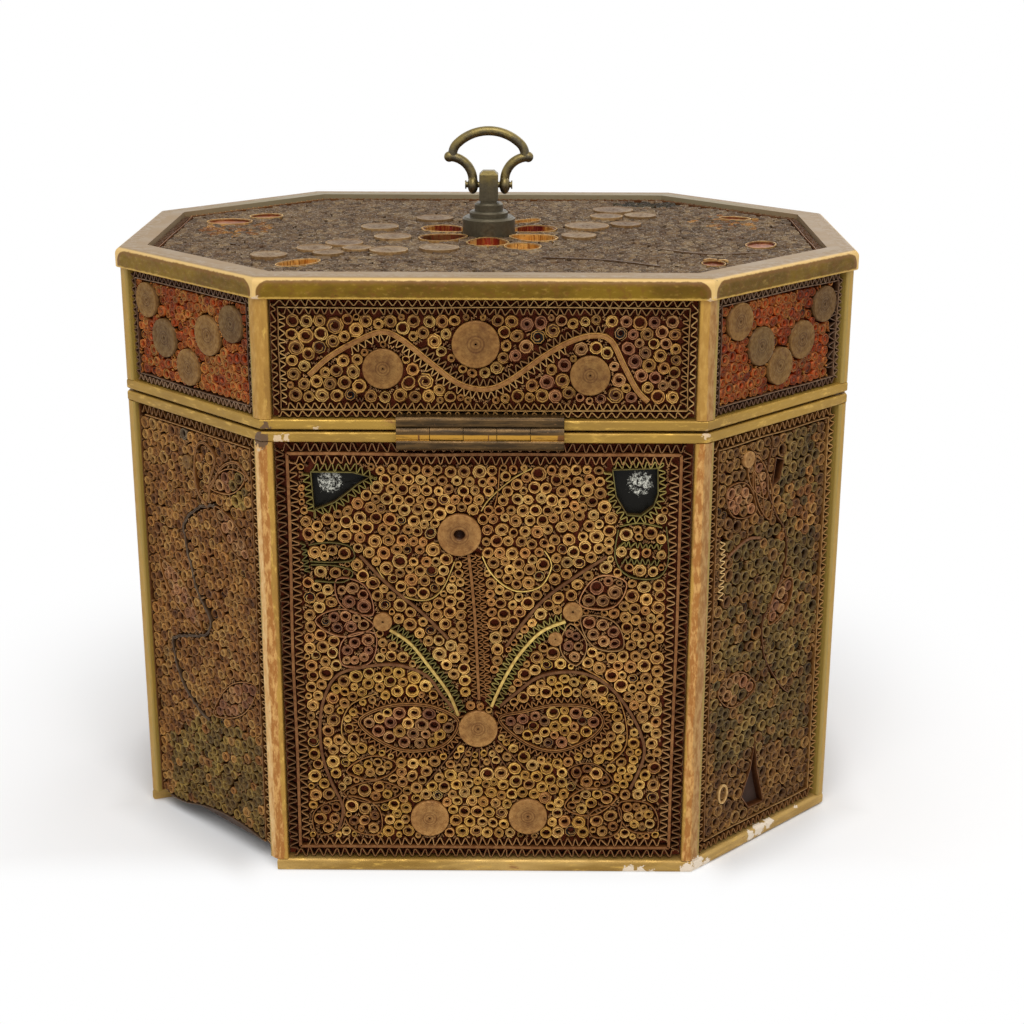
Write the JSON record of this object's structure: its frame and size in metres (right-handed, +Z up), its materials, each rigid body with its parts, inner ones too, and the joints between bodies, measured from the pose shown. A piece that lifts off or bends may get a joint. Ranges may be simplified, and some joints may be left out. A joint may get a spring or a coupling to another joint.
{
  "type": "quillwork tea caddy",
  "caption": "Long octagonal tea caddy faced with rolled-paper quillwork between gilt strips, with a hinged lid, bail handle, lift-out inner cover and sliding lock bolt.",
  "frame": {"origin": "middle of the underside, on the surface the caddy stands on", "axes": "+Z up, hinged side faces -Y, lock side faces +Y, +X to the right of someone facing the hinge"},
  "size_m": [0.1694, 0.1283, 0.1639],
  "materials": {
    "pine": "plain planed softwood, waxed inside",
    "gilding": "worn water gilding over red bole and gesso",
    "top_border": "rubbed gilding, greyed, pale at the outer edge",
    "quillwork": "rolled and crimped paper strips, aged, gilt on the edges",
    "mica": "dark foil-backed mica with silvery flecks",
    "foil": "dull tin foil lining",
    "hinge_brass": "dark patina, bright where rubbed",
    "lock_brass": "dull polished",
    "handle_bronze": "dark bronze patina with rubbed edges",
    "iron": "dark filed iron",
    "boxwood": "turned and waxed"
  },
  "bodies": {
    "caddy_body": {"base_board": "pine", "body_back_wall": "pine", "body_front_wall": "pine", "body_side_walls": "pine", "body_corner_walls": "pine", "base_mouldings": "gilding", "body_corner_beads": "gilding", "body_rim_strips": "gilding", "mica_inserts": "mica", "tea_lining": "foil", "cover_ledge": "pine", "lock_case": "iron", "lock_plate": "lock_brass", "keyhole_escutcheon": "lock_brass", "lock_screws": "iron", "hinge_body_leaf": "hinge_brass", "hinge_pin": "hinge_brass", "hinge_body_screws": "iron", "body_quillwork_back": "quillwork", "body_quillwork_back_right": "quillwork", "body_quillwork_right": "quillwork", "body_quillwork_front_right": "quillwork", "body_quillwork_front": "quillwork", "body_quillwork_front_left": "quillwork", "body_quillwork_left": "quillwork", "body_quillwork_back_left": "quillwork"},
    "lid": {"lid_back_wall": "pine", "lid_front_wall": "pine", "lid_side_walls": "pine", "lid_corner_walls": "pine", "lid_top_board": "pine", "lid_rim_strips": "gilding", "lid_corner_beads": "gilding", "lid_edge_mouldings": "gilding", "lid_top_border": "top_border", "lid_top_quillwork": "quillwork", "lid_lining": "foil", "link_plate": "lock_brass", "link_plate_screws": "iron", "hinge_lid_leaf": "hinge_brass", "hinge_lid_screws": "iron", "handle_rose": "handle_bronze", "handle_post": "handle_bronze", "handle_washer": "handle_bronze", "handle_nut": "handle_bronze", "bail_pin": "handle_bronze", "lid_quillwork_back": "quillwork", "lid_quillwork_back_right": "quillwork", "lid_quillwork_right": "quillwork", "lid_quillwork_front_right": "quillwork", "lid_quillwork_front": "quillwork", "lid_quillwork_front_left": "quillwork", "lid_quillwork_left": "quillwork", "lid_quillwork_back_left": "quillwork"},
    "bail": {"bail_handle": "handle_bronze"},
    "inner_cover": {"inner_cover": "pine", "inner_cover_knob": "boxwood"},
    "bolt": {"lock_bolt": "iron"}
  },
  "joints": [
    {"name": "lid_hinge", "type": "hinge", "parent": "caddy_body", "child": "lid", "pos_m": [-0.00075, -0.0633, 0.10605], "axis": [1, 0, 0], "range_deg": [0, 100]},
    {"name": "bail_swing", "type": "hinge", "parent": "lid", "child": "bail", "pos_m": [0, 0, 0.1501], "axis": [1, 0, 0], "range_deg": [-140, 140]},
    {"name": "inner_cover_lift", "type": "slide", "parent": "caddy_body", "child": "inner_cover", "axis": [0, 0, 1], "range_m": [0, 0.015]},
    {"name": "lock_bolt_slide", "type": "slide", "parent": "caddy_body", "child": "bolt", "axis": [1, 0, 0], "range_m": [0, 0.004]}
  ]
}
